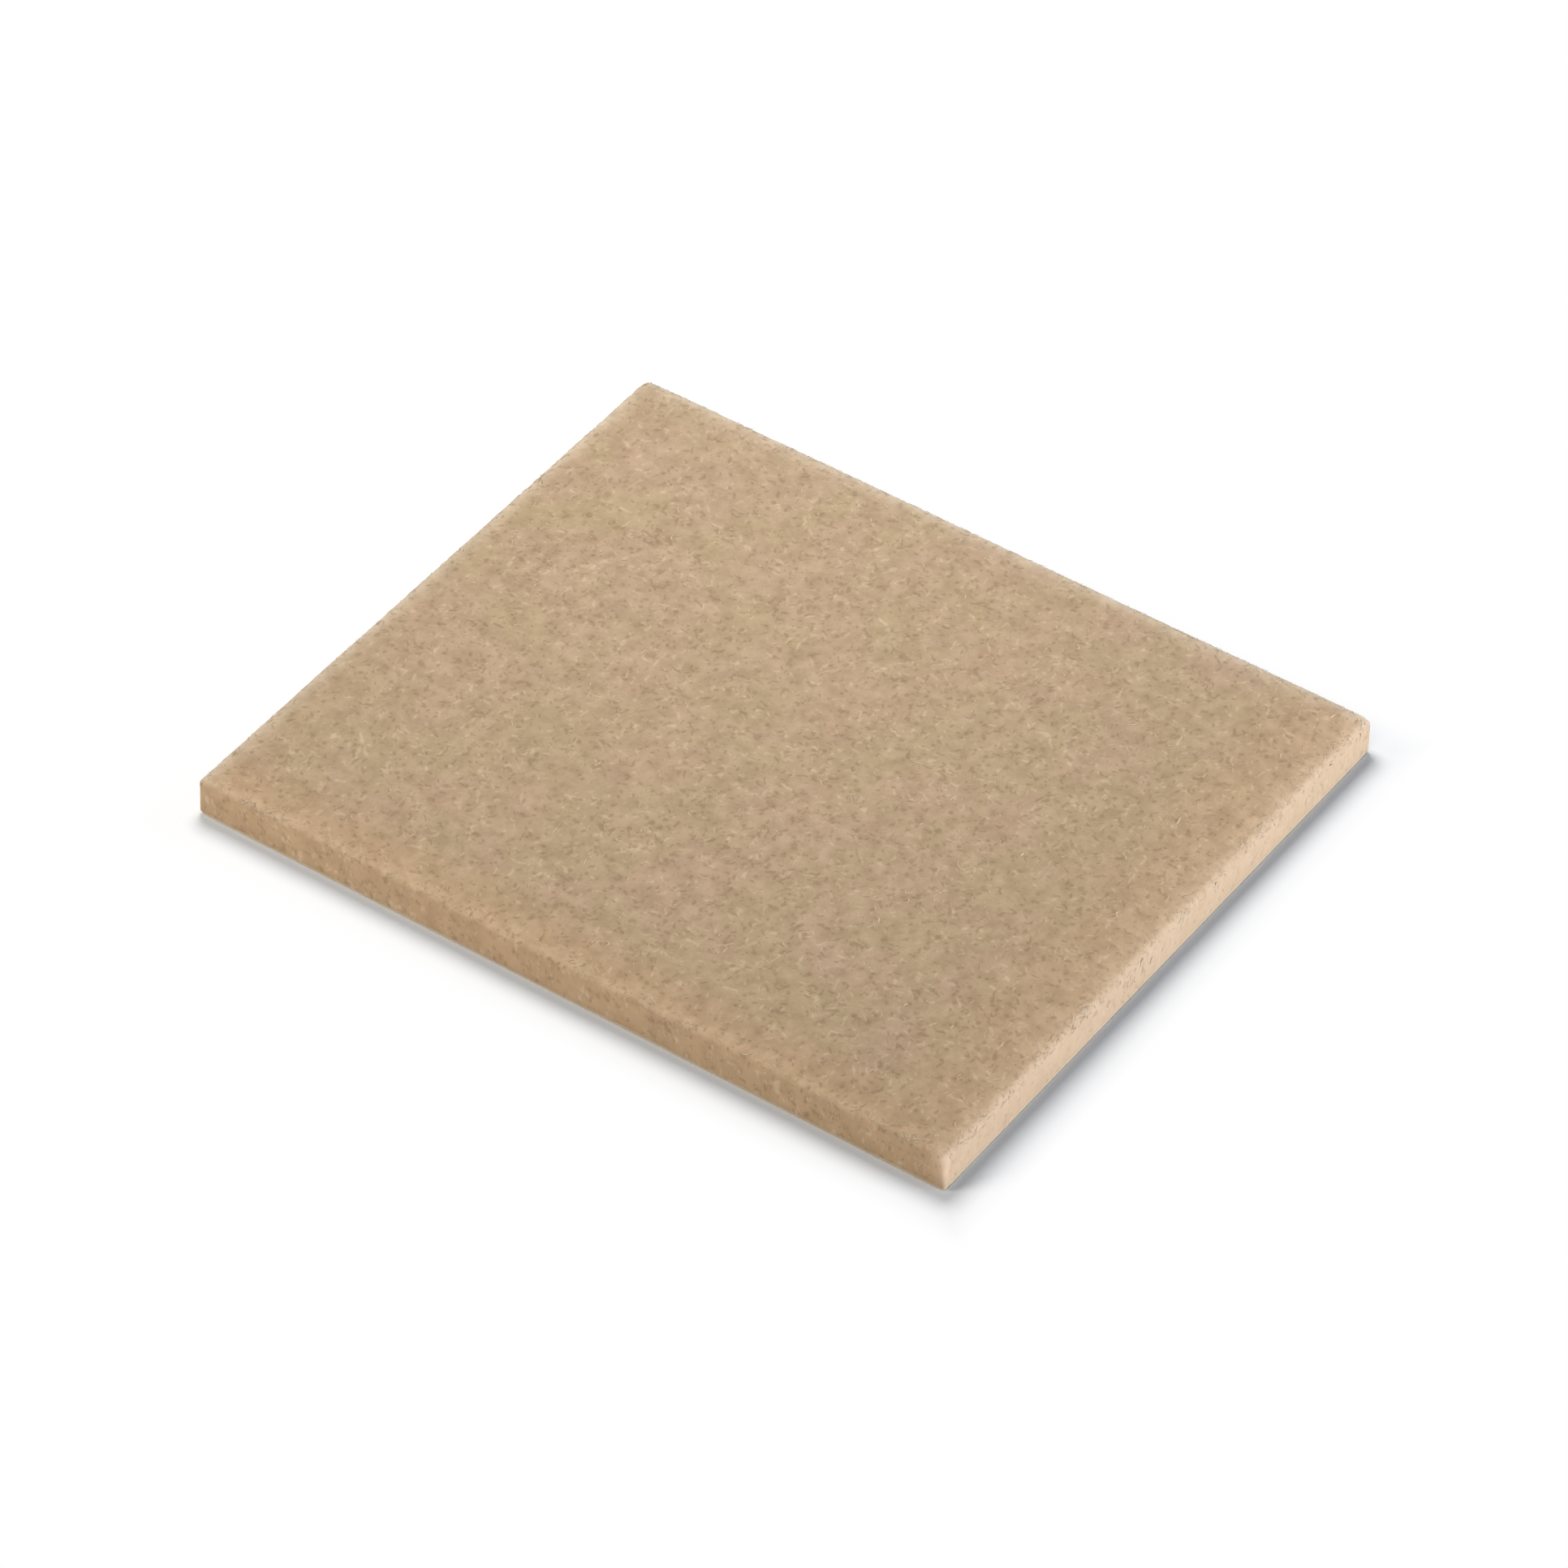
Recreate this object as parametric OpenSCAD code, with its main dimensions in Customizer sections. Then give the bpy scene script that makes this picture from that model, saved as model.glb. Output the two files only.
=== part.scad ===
// Furniture slider: a die-cut felt pad on a self-adhesive backing, with its peel-off liner.
// Millimetres. The origin is the centre of the liner's underside. +X runs along the long side
// and +Z points up, out of the felt's glide face.

/* [Felt pad] */
// Length of the pad, along X
pad_length = 100; // [40:1:200]
// Width of the pad, along Y
pad_width = 85; // [40:1:200]
// Thickness of the felt alone
felt_thickness = 5; // [3:0.1:10]
// Radius of the soft shoulder that the die leaves round the glide face
shoulder_radius = 0.8; // [0.3:0.1:1.5]
// Radius of the small break round the felt's lower edge
foot_radius = 0.25; // [0.1:0.05:1]
// Radius of the four upright corners
corner_radius = 0.4; // [0.2:0.1:3]

/* [Adhesive backing] */
// Thickness of the adhesive coat against the felt
felt_adhesive_thickness = 0.07; // [0.03:0.01:0.2]
// Thickness of the film that carries both adhesive coats
carrier_thickness = 0.05; // [0.02:0.01:0.2]
// Thickness of the adhesive coat that sticks to the furniture
furniture_adhesive_thickness = 0.08; // [0.03:0.01:0.2]
// How far the backing's cut edge lies inside the felt, which swells back past the cut
backing_inset = 0.15; // [0.05:0.05:2]

/* [Release liner] */
// Thickness of the siliconised paper
liner_thickness = 0.1; // [0.05:0.01:0.3]
// How far the liner's cut edge lies inside the felt
liner_inset = 0.15; // [0.05:0.05:2]

/* [Hidden] */
$fn = 64;

// Heights of the faces where the layers meet, from the liner's underside up
furniture_adhesive_z = liner_thickness;
carrier_z = furniture_adhesive_z + furniture_adhesive_thickness;
felt_adhesive_z = carrier_z + carrier_thickness;
felt_z = felt_adhesive_z + felt_adhesive_thickness;

// How far a profile runs past the slab that it trims
overrun = 1;

// Rectangle about the origin with four round corners
module rounded_rectangle(length, width, radius) {
    square([length - 2 * radius, width], center = true);
    square([length, width - 2 * radius], center = true);
    for (x = [-1, 1], y = [-1, 1])
        translate([x * (length / 2 - radius), y * (width / 2 - radius)])
            circle(r = radius);
}

// The felt seen edge on: upright cut walls, a soft shoulder at each top corner
// and a small break at each foot
module felt_profile(span) {
    wall_height = felt_thickness - shoulder_radius - foot_radius;
    translate([-span / 2, foot_radius])
        square([span, wall_height]);
    translate([shoulder_radius - span / 2, foot_radius])
        square([span - 2 * shoulder_radius, felt_thickness - foot_radius]);
    translate([foot_radius - span / 2, 0])
        square([span - 2 * foot_radius, felt_thickness - shoulder_radius]);
    for (side = [-1, 1]) {
        translate([side * (span / 2 - shoulder_radius), felt_thickness - shoulder_radius])
            circle(r = shoulder_radius);
        translate([side * (span / 2 - foot_radius), foot_radius])
            circle(r = foot_radius);
    }
}

// One flat layer of the backing, cut inside the felt's outline
module layer(inset, thickness) {
    linear_extrude(height = thickness)
        rounded_rectangle(pad_length - 2 * inset, pad_width - 2 * inset, corner_radius);
}

// The felt slab: the plan outline trimmed by the edge profile along both sides,
// so that the shoulders meet in a mitre at each corner
module felt_pad() {
    color("tan")
        translate([0, 0, felt_z])
            intersection() {
                translate([0, 0, -overrun])
                    linear_extrude(height = felt_thickness + 2 * overrun)
                        rounded_rectangle(pad_length, pad_width, corner_radius);
                rotate([90, 0, 0])
                    linear_extrude(height = pad_width + 2 * overrun, center = true)
                        felt_profile(pad_length);
                rotate([90, 0, 90])
                    linear_extrude(height = pad_length + 2 * overrun, center = true)
                        felt_profile(pad_width);
            }
}

// Adhesive coat against the felt
module felt_side_adhesive() {
    color("wheat")
        translate([0, 0, felt_adhesive_z])
            layer(backing_inset, felt_adhesive_thickness);
}

// Film in the middle of the double-sided backing
module carrier_film() {
    color("gainsboro")
        translate([0, 0, carrier_z])
            layer(backing_inset, carrier_thickness);
}

// Adhesive coat that sticks to the furniture
module furniture_side_adhesive() {
    color("wheat")
        translate([0, 0, furniture_adhesive_z])
            layer(backing_inset, furniture_adhesive_thickness);
}

// Siliconised paper under the adhesive
module release_liner() {
    color("ivory")
        layer(liner_inset, liner_thickness);
}

felt_pad();
felt_side_adhesive();
carrier_film();
furniture_side_adhesive();
release_liner();
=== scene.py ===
"""Felt furniture slider: a needle-punched felt pad on adhesive tape, lying on its release liner.

Every length is in metres and every colour is linear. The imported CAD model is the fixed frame:
the felt and the liner stand for their CAD nodes, and the tape's layers are the CAD nodes themselves.
"""

import math

import bpy
import numpy as np
from bpy.props import FloatProperty, FloatVectorProperty, IntProperty, PointerProperty
from mathutils import Matrix, Vector


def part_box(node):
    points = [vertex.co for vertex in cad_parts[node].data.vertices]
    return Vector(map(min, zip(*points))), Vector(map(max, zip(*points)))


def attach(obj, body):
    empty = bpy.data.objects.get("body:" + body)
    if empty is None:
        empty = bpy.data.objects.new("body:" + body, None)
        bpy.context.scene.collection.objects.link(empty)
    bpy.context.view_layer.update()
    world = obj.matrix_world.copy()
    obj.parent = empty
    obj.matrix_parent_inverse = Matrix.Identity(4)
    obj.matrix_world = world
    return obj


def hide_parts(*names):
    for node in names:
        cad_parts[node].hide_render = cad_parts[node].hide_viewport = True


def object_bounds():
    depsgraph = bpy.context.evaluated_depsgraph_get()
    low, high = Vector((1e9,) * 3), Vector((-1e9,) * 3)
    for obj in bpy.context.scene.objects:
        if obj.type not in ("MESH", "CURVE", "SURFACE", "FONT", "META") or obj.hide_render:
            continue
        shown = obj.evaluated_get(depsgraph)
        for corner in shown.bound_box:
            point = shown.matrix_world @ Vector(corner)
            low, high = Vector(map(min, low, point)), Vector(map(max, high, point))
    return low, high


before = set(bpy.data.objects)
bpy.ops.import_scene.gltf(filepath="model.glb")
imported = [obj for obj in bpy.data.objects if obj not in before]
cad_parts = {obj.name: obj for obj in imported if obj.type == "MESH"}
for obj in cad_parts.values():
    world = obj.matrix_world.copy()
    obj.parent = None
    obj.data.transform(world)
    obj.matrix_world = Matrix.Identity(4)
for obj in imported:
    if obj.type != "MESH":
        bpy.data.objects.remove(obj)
CAD_BOX = [list(corner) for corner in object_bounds()]
FELT_LOW, FELT_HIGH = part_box("felt_pad")
LINER_LOW, LINER_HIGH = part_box("release_liner")

bl_info = {
    "name": "Felt furniture slider",
    "version": (1, 0, 0),
    "blender": (4, 5, 0),
    "location": "View3D > Sidebar > Felt slider",
    "description": "Builds a self-adhesive felt slider with loose fibres, tape and release liner",
    "category": "Add Mesh",
}

MM = 0.001
MM_PER_METRE = 1000.0
QUARTER_TURN = math.pi / 2
# Keeps a division or a comparison clear of rounding
TINY = 1e-9
WHITE = (1.0, 1.0, 1.0, 1.0)
BAKE_MAP = "OFBake"

# Steps of angle round a slab's shoulder and round its foot
SHOULDER_STEPS = 6
FOOT_STEPS = 2
# Grid cells along and across the felt's face and the liner's, and rows down the felt's walls
FELT_CELLS = (286, 243)
FELT_WALL_ROWS = 12
LINER_CELLS = (60, 51)

# A loose strand: sides of its tube, points along it and how far along each point is, from 0 to 1
STRAND_SIDES = 3
STRAND_STEPS = 5
ALONG = np.linspace(0, 1, STRAND_STEPS)
# Height of a bundle of fibres as a share of its width, and the share of that height sunk in the felt
BUNDLE_FLATNESS = 0.34
BUNDLE_SUNK = 0.6

# The right side is brightly lit by the low side lamp. These give how much of its relief is missing,
# how much darker its strands are, as painted shade, and how much closer a place counts to it than to
# the front
RIGHT_SMOOTHER = 0.6
RIGHT_DARKER = 0.5
RIGHT_NEARER = 0.55

# Numbers that the felt's vertices carry for its material. walls goes from 0 on the face to 1 on the
# walls, ridges and pits are the relief, near is the distance in millimetres from the front and right
# edges and rim from any edge, which places a painted highlight along the face's rim. The last three
# are 1 at the left and back edges, where a painted sheen lies, at the paler front right corner, and
# at the brightly lit right side
FELT_VALUES = ("walls", "ridges", "pits", "near", "rim", "haze", "frayed", "clean")

# Distances from the pad, in millimetres, between which the floor's shadow gives way to plain white
SHADOW_FADE = (1.3, 6.4)

COOL_LIGHT = (0.91, 1.0, 1.19)
WARM_LIGHT = (1.04, 1.0, 0.95)
PLAIN_LIGHT = (1.0, 1.0, 1.0)
# Each lamp's azimuth and elevation in degrees, its distance, its width and height, and its colour
LAMPS = {
    "key": (225, 66, 0.30, (0.16, 0.16), PLAIN_LIGHT),
    "side": (104, 4, 0.50, (0.36, 0.05), COOL_LIGHT),
    "front": (10, 28, 1.2, (0.5, 0.4), WARM_LIGHT),
    "left": (322, 25, 0.45, (0.2, 0.16), WARM_LIGHT),
}
# The key lamp is narrowed and aimed behind the pad, so the face darkens towards the front
KEY_SPREAD = math.radians(120)
KEY_AIM = Vector((0.0, 0.08, 0.0))


# Settings


def length_setting(name, description, millimetres):
    """A length, with its default in millimetres."""
    return FloatProperty(
        name=name, description=description, default=millimetres * MM, subtype="DISTANCE"
    )


def angle_setting(name, description, degrees):
    """An angle, with its default in degrees."""
    return FloatProperty(
        name=name, description=description, default=math.radians(degrees), subtype="ANGLE"
    )


def colour_setting(name, description, *default):
    """A colour, with its default as linear red, green and blue."""
    return FloatVectorProperty(name=name, description=description, default=default, subtype="COLOR")


def count_setting(name, description, default):
    """A number of like things."""
    return IntProperty(name=name, description=description, default=default, min=1)


def light_setting(name, source, default):
    """The share of the light that one source gives."""
    description = f"Share of the light on a level face that {source}"
    return FloatProperty(name=name, description=description, default=default, min=0.0)


class FeltSettings(bpy.types.PropertyGroup):
    """Form and colours of the felt slab."""

    shoulder_radius: length_setting(
        "Shoulder radius", "Radius of the soft shoulder round the glide face", 0.8
    )
    foot_radius: length_setting("Foot radius", "Radius of the small break round the lower edge", 0.25)
    corner_radius: length_setting("Corner radius", "Radius of the four upright corners", 0.4)
    front_wear: FloatVectorProperty(
        name="Front corner wear",
        description="How far along the front and right walls the front right corner is worn at its top",
        default=(1.3 * MM, 2.2 * MM),
        size=2,
        subtype="XYZ",
        unit="LENGTH",
    )
    back_wear: length_setting(
        "Back corner wear", "How far along both walls the back left corner is worn at its top", 1.7
    )
    # The felt is smoother with fewer marks towards the brightly lit right side, where its wall has a
    # painted sheen
    clean_reach: length_setting(
        "Clean reach", "How far in from the cleanly cut right side the felt is smoother", 2.0
    )
    # How far along the front wall the front right corner is paler, more so higher up
    fray: length_setting(
        "Fray", "How far along the front wall the front right corner is frayed pale", 2.8
    )
    # Reach of the painted sheen along the left and back edges
    haze_reach: length_setting(
        "Haze reach", "Distance from the left and back edges at which their fuzz is a third", 1.1
    )
    edge_fall: length_setting(
        "Edge fall", "How far the face sinks towards the cut edge, where the die pressed it", 0.55
    )
    right_fall: length_setting(
        "Right edge fall", "How far the face sinks towards the right edge, which is pressed more", 0.85
    )
    edge_reach: length_setting(
        "Edge reach", "Distance from the edge at which the fall is down to about a third", 3.2
    )
    crown: length_setting("Crown", "How far the middle of the face swells above the CAD face", 0.46)
    nap_height: length_setting("Nap height", "Height of the combed ridges of matted fibre", 0.013)
    lump_height: length_setting("Lump height", "Height of the soft lumps between needle marks", 0.012)
    pit_depth: length_setting("Pit depth", "Depth of the needle marks", 0.055)
    wall_height: length_setting(
        "Wall relief", "Height of the upright fibre ends on the cut walls", 0.018
    )
    wander: length_setting(
        "Outline wander", "How far the cut outline strays from a straight line", 0.05
    )
    olive_tan: colour_setting("Olive tan", "Cooler shade of the blended fibres", 0.507, 0.374, 0.226)
    rosy_tan: colour_setting("Rosy tan", "Warmer shade of the blended fibres", 0.530, 0.371, 0.242)
    pale_fibre: colour_setting("Pale fibre", "Colour of the lightest fibres", 0.690, 0.530, 0.350)
    # Colour of painted shade down in the needle marks, dents and gaps, and of the dark fibre strokes
    pit_shade_and_dark_fibre_brown: colour_setting("Pit brown", "Colour down in the needle marks", 0.265, 0.170, 0.085)
    # Colour of a painted highlight along the face's edge, also laid on the paler front right corner
    rim_highlight_tan: colour_setting(
        "Rim tan", "Colour of the face along its edge, where the die pressed it", 0.745, 0.525, 0.335
    )
    # Colour of the painted sheen along the left and back edges and on the brightly lit right wall
    haze_tan: colour_setting(
        "Haze tan", "Colour of the pale fuzz along the left and back edges", 0.720, 0.620, 0.480
    )
    cut_tan: colour_setting("Cut tan", "Colour of the cut walls", 0.550, 0.370, 0.215)


class FibreSettings(bpy.types.PropertyGroup):
    """Loose fibres on the felt."""

    face_count: count_setting("Face fibres", "Number of fibres that lie on the glide face", 700)
    wall_count: count_setting("Wall fibres", "Number of fibres that lie on the cut walls", 800)
    tuft_count: count_setting("Edge tufts", "Number of pale bundles that lie round the shoulder", 450)
    hair_count: count_setting("Edge hairs", "Number of fine hairs that stand off the shoulder", 1200)
    radius: length_setting("Fibre radius", "Half the width of a small flattened bundle of fibres", 0.1)


class BackingSettings(bpy.types.PropertyGroup):
    """Colours of the double-sided tape under the felt."""

    adhesive: colour_setting("Adhesive", "Colour of the adhesive coat", 0.56, 0.405, 0.215)
    adhesive_thin: colour_setting(
        "Thin adhesive", "Colour where the coat is thin and the fibres show", 0.66, 0.525, 0.335
    )
    film: colour_setting("Carrier film", "Colour of the film between the two coats", 0.72, 0.64, 0.48)


class LinerSettings(bpy.types.PropertyGroup):
    """Colours of the release liner."""

    paper: colour_setting("Paper", "Colour of the siliconised paper", 0.60, 0.43, 0.22)
    fleck: colour_setting("Fleck", "Colour of the darker fibres in the paper", 0.44, 0.29, 0.13)


class StageSettings(bpy.types.PropertyGroup):
    """Camera, lamps and floor."""

    azimuth: angle_setting("Camera azimuth", "Angle round the pad, from the front", 34.16)
    elevation: angle_setting("Camera elevation", "Angle above the floor", 43.09)
    roll: angle_setting("Camera roll", "Turn of the camera about its own line of sight", 1.23)
    distance: length_setting("Camera distance", "Distance from the point aimed at", 919.7)
    aim_right: length_setting(
        "Aim right", "How far right of the origin the camera aims, in the picture", -0.421
    )
    aim_up: length_setting("Aim up", "How far above the origin the camera aims, in the picture", -0.169)
    lens: FloatProperty(
        name="Lens",
        description="Focal length in millimetres on a 36 mm sensor",
        default=189.0,
        subtype="DISTANCE_CAMERA",
    )
    key_share: light_setting("Key light", "the key lamp would give if it were not narrowed", 0.307)
    side_share: light_setting("Side light", "the low side lamp gives", 0.073)
    front_share: light_setting("Front light", "the front lamp gives", 0.065)
    left_share: light_setting("Left light", "the front left lamp gives", 0.16)
    sky_share: light_setting("Sky light", "the white surroundings give", 0.10)
    floor: colour_setting("Floor", "Colour of the floor", 0.82, 0.82, 0.82)
    floor_white: FloatProperty(
        name="Floor whiteness",
        description="How bright the lit floor looks, where 1 is white",
        default=1.16,
    )


class SliderSettings(bpy.types.PropertyGroup):
    """All settings of the slider."""

    felt: PointerProperty(type=FeltSettings)
    fibres: PointerProperty(type=FibreSettings)
    backing: PointerProperty(type=BackingSettings)
    liner: PointerProperty(type=LinerSettings)
    stage: PointerProperty(type=StageSettings)


# Fields and surfaces


def frequencies(shape, cell):
    """Frequencies along the rows and along the columns of a field with cells of that size."""
    return np.fft.fftfreq(shape[0], cell)[:, None], np.fft.rfftfreq(shape[1], cell)[None, :]


def filtered(field, response):
    """A field with each of its frequencies times the response there, which blurs it."""
    return np.fft.irfft2(np.fft.rfft2(field) * response, s=field.shape)


def combed_noise(seed, shape, cell, length, width, headings):
    """Noise that looks combed in several directions at once.

    White noise is drawn out along each heading by a long thin Gaussian, and each cell keeps the
    highest of them. A Gaussian of spread s has the transform exp(-2 (pi s k)^2) at frequency k,
    so the drawing out is one product in the frequency domain. The mean is 0 and the spread 1.
    """
    rng = np.random.default_rng(seed)
    rows, columns = frequencies(shape, cell)
    top = np.full(shape, -np.inf)
    for heading in headings:
        along = columns * math.cos(heading) + rows * math.sin(heading)
        across = rows * math.cos(heading) - columns * math.sin(heading)
        blur = np.exp(-2.0 * math.pi**2 * ((length * along) ** 2 + (width * across) ** 2))
        drawn = filtered(rng.standard_normal(shape), blur)
        top = np.maximum(top, drawn / drawn.std())
    return (top - top.mean()) / top.std()


def needle_marks(seed, shape, cell, per_square_mm, radius):
    """Round soft dents at random places: Gaussians, each of its own depth from 0.3 to 1.

    Where dents overlap they add up, to no more than 1.2.
    """
    rng = np.random.default_rng(seed)
    chance = per_square_mm * (cell / MM) ** 2
    struck = (rng.random(shape) < chance) * rng.uniform(0.3, 1.0, shape)
    rows, columns = frequencies(shape, cell)
    blur = np.exp(-2.0 * (math.pi * radius) ** 2 * (rows**2 + columns**2))
    depth_of_one = cell**2 / (2.0 * math.pi * radius**2)
    return np.clip(filtered(struck, blur) / depth_of_one, 0.0, 1.2)


def read_field(field, cell, x, y):
    """Value of a repeating field at x along its columns and y along its rows, between four cells."""
    column = np.floor(x / cell)
    row = np.floor(y / cell)
    share_x = x / cell - column
    share_y = y / cell - row
    column = column.astype(int) % field.shape[1]
    row = row.astype(int) % field.shape[0]
    next_column = (column + 1) % field.shape[1]
    next_row = (row + 1) % field.shape[0]
    low = field[row, column] * (1 - share_x) + field[row, next_column] * share_x
    high = field[next_row, column] * (1 - share_x) + field[next_row, next_column] * share_x
    return low * (1 - share_y) + high * share_y


class CutSlab:
    """A slab cut from sheet with a die: flat face, round shoulders, upright walls and a small foot.

    The upper surface is a grid over the plan. Grid lines are even over the flat face and go round
    each shoulder in even steps of angle; a point is as low as the steeper of its two angles says,
    so the shoulders meet in a mitre. The grid's rim is carried down the walls as a ring of columns,
    drawn in round the foot, and closed by one flat face underneath.
    """

    def __init__(self, low, high, shoulder, foot, corner, cells, wall_rows):
        self.half_x = (high[0] - low[0]) / 2
        self.half_y = (high[1] - low[1]) / 2
        self.girth = 4 * (self.half_x + self.half_y)
        self.low = low[2]
        self.high = high[2]
        self.shoulder = shoulder
        self.foot = foot
        self.corner = corner
        self.cells = cells
        self.wall_rows = wall_rows

    def lines(self, half, cells):
        """Places of the grid lines along one side and the angle of the surface at each."""
        flat = np.linspace(-(half - self.shoulder), half - self.shoulder, cells + 1)
        turn = np.linspace(0, QUARTER_TURN, SHOULDER_STEPS + 1)[1:]
        past = half - self.shoulder + self.shoulder * np.sin(turn)
        places = np.concatenate([-past[::-1], flat, past])
        angles = np.concatenate([-turn[::-1], np.zeros(cells + 1), turn])
        return places, angles

    def drawn_in(self, x, y, reach_x, reach_y):
        """How far plan points move to turn the square corners into arcs.

        Past the start of the arc, u and v from 0 to 1 become u sqrt(1 - v^2 / 2) and
        v sqrt(1 - u^2 / 2), which turns the corner's square into a quarter of a disc.
        """
        u = np.clip((np.abs(x) - self.half_x) / reach_x + 1, 0, 1)
        v = np.clip((np.abs(y) - self.half_y) / reach_y + 1, 0, 1)
        draw_x = reach_x * u * (np.sqrt(1 - v**2 / 2) - 1)
        draw_y = reach_y * v * (np.sqrt(1 - u**2 / 2) - 1)
        return np.sign(x) * draw_x, np.sign(y) * draw_y

    def outward(self, x, y):
        """Unit direction out of the outline, in plan, for points on it."""
        ahead_x = x - np.clip(x, self.corner - self.half_x, self.half_x - self.corner)
        ahead_y = y - np.clip(y, self.corner - self.half_y, self.half_y - self.corner)
        size = np.maximum(np.hypot(ahead_x, ahead_y), TINY)
        return ahead_x / size, ahead_y / size

    def inward(self, x, y):
        """Distance of plan points from the nearest side."""
        return np.minimum(self.half_x - np.abs(x), self.half_y - np.abs(y))

    def around(self, x, y):
        """Distance along the outline from the front left corner, by way of the nearest side."""
        length, width = 2 * self.half_x, 2 * self.half_y
        by_side = self.half_x - np.abs(x) < self.half_y - np.abs(y)
        on_side = np.where(x > 0, length + y + self.half_y, 2 * length + width + self.half_y - y)
        on_front = np.where(y < 0, x + self.half_x, length + width + self.half_x - x)
        return np.where(by_side, on_side, on_front)

    def build(self):
        """Vertices, unit normals, a mask that is 1 on the walls, faces and the bake map.

        Returns a dict of arrays. The faces are the quads and the ring that closes the underside.
        """
        place_x, angle_x = self.lines(self.half_x, self.cells[0])
        place_y, angle_y = self.lines(self.half_y, self.cells[1])
        x, y = np.meshgrid(place_x, place_y, indexing="ij")
        turn_x, turn_y = np.meshgrid(angle_x, angle_y, indexing="ij")
        steep = np.maximum(np.abs(turn_x), np.abs(turn_y))
        lean_x = np.where(np.abs(turn_x) >= np.abs(turn_y) - TINY, np.sin(turn_x), 0)
        lean_y = np.where(np.abs(turn_y) >= np.abs(turn_x) - TINY, np.sin(turn_y), 0)
        draw_x, draw_y = self.drawn_in(x, y, self.corner, self.corner)
        z = self.high - self.shoulder * (1 - np.cos(steep))
        face = np.stack([x + draw_x, y + draw_y, z], -1).reshape(-1, 3)
        face_normal = np.stack([lean_x, lean_y, np.cos(steep)], -1).reshape(-1, 3)

        index = np.arange(x.size).reshape(x.shape)
        ring = np.concatenate([index[:-1, 0], index[-1, :-1], index[:0:-1, -1], index[0, :0:-1]])
        rim_x, rim_y = face[ring, 0], face[ring, 1]
        out_x, out_y = self.outward(rim_x, rim_y)
        face_normal[ring] = np.stack([out_x, out_y, np.zeros(len(ring))], -1)

        top, knee = self.high - self.shoulder, self.low + self.foot
        drop = np.linspace(0, 1, self.wall_rows + 1)[1:]
        bend = np.linspace(0, QUARTER_TURN, FOOT_STEPS + 1)[1:]
        level = np.concatenate([top + (knee - top) * drop, knee - self.foot * np.sin(bend)])
        lean = np.concatenate([np.zeros(self.wall_rows), bend])[:, None]
        inset = self.foot * (1 - np.cos(lean))
        flat = np.zeros(len(ring))
        wall = np.stack([rim_x - inset * out_x, rim_y - inset * out_y, level[:, None] + flat], -1)
        wall_normal = np.stack(
            [np.cos(lean) * out_x, np.cos(lean) * out_y, flat - np.sin(lean)], -1
        )

        below = len(face) + np.arange(len(level) * len(ring)).reshape(len(level), -1)
        rows = np.concatenate([ring[None, :], below])
        following = np.roll(rows, -1, axis=1)
        face_quads = np.stack([index[:-1, :-1], index[1:, :-1], index[1:, 1:], index[:-1, 1:]], -1)
        face_quads = face_quads.reshape(-1, 4)
        wall_quads = np.stack([rows[:-1], rows[1:], following[1:], following[:-1]], -1)
        normal = np.concatenate([face_normal, wall_normal.reshape(-1, 3)])
        normal /= np.linalg.norm(normal, axis=1)[:, None]
        return {
            "vertices": np.concatenate([face, wall.reshape(-1, 3)]),
            "normals": normal,
            "walls": np.concatenate([(1 - np.cos(steep)).ravel(), np.ones(wall.size // 3)]),
            "quads": np.concatenate([face_quads, wall_quads.reshape(-1, 4)]),
            "underside": rows[-1][::-1],
            "map": self.bake_map(face, face_quads, ring, level),
        }

    def bake_map(self, face, face_quads, ring, level):
        """A flat map: the face as one island, the walls as strips above it, the underside small."""
        gap = 0.6 * MM
        depth = np.concatenate([[0], np.cumsum(np.abs(np.diff(level, prepend=level[0])))])
        depth += np.linspace(0, 1, len(depth)) * self.foot
        depth_step = depth[-1] + self.foot + gap
        size = max(2 * self.half_x, 2 * self.half_y + 4 * depth_step) + 2 * gap
        flat = face[:, :2] + [self.half_x + gap, self.half_y + gap]
        counts = [cells + 2 * SHOULDER_STEPS for cells in self.cells] * 2
        column = np.concatenate([np.arange(count) for count in counts])
        strip = np.repeat(np.arange(4), counts)
        reach = np.array([2 * self.half_x, 2 * self.half_y] * 2) / counts
        base = 2 * self.half_y + 2 * gap + strip * depth_step
        upper = base + depth[:-1, None]
        lower = base + depth[1:, None]
        left = np.broadcast_to(gap + column * reach[strip], lower.shape)
        right = left + reach[strip]
        corners = ((left, upper), (left, lower), (right, lower), (right, upper))
        wall_map = np.stack([np.stack(corner, -1) for corner in corners], -2)
        # The underside goes in the strip that the last short wall leaves free
        small = min(0.6 * depth_step / self.half_y, 0.1)
        underside = face[ring[::-1], :2] * small
        underside += [2 * self.half_x + gap - self.half_x * small, base[-1] + self.half_y * small]
        return np.concatenate([flat[face_quads.ravel()], wall_map.reshape(-1, 2), underside]) / size


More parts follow.
